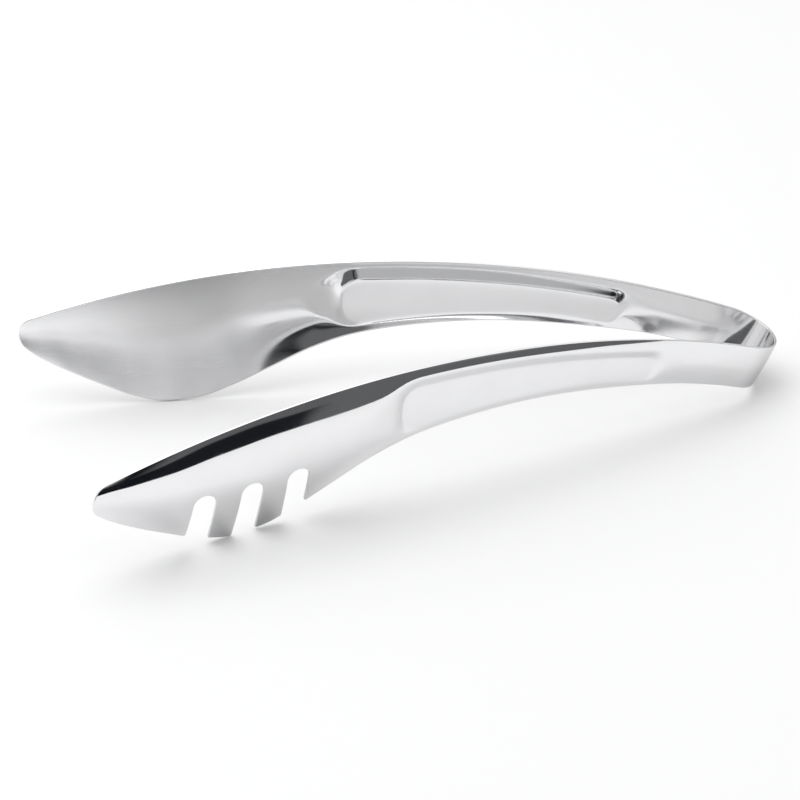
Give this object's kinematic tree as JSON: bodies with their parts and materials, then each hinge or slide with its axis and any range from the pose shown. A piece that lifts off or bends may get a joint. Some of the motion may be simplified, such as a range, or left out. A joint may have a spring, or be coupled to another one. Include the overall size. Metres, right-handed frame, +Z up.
{
  "type": "serving tongs",
  "caption": "One-piece spring serving tongs: a rear bend carries a leaf-shaped spoon arm and a notched fork arm with pressed finger panels.",
  "frame": {"origin": "on the table the tongs stand on, under the middle of their length and width", "axes": "+Z up, the bend at +X and the blades towards -X, the spoon on the +Y side and the fork on the -Y side"},
  "size_m": [0.2593, 0.1104, 0.0502],
  "materials": {
    "steel_spring_bend": "mirror-polished stainless steel",
    "steel_spoon_arm": "mirror-polished stainless steel",
    "steel_fork_arm": "mirror-polished stainless steel"
  },
  "bodies": {
    "spring_bend": {"spring_bend": "steel_spring_bend"},
    "spoon_arm": {"spoon_arm": "steel_spoon_arm"},
    "fork_arm": {"fork_arm": "steel_fork_arm"}
  },
  "joints": [
    {"name": "spoon_flex", "type": "hinge", "parent": "spring_bend", "child": "spoon_arm", "pos_m": [0.1209, 0.00915, 0.00821], "axis": [0.4695, 0, 0.8829], "range_deg": [-5, 12.8], "stiffness_Nm_per_rad": 2.5},
    {"name": "fork_flex", "type": "hinge", "parent": "spring_bend", "child": "fork_arm", "pos_m": [0.1209, -0.00915, 0.00821], "axis": [-0.4695, 0, -0.8829], "range_deg": [-5, 12.8], "stiffness_Nm_per_rad": 2.5}
  ]
}
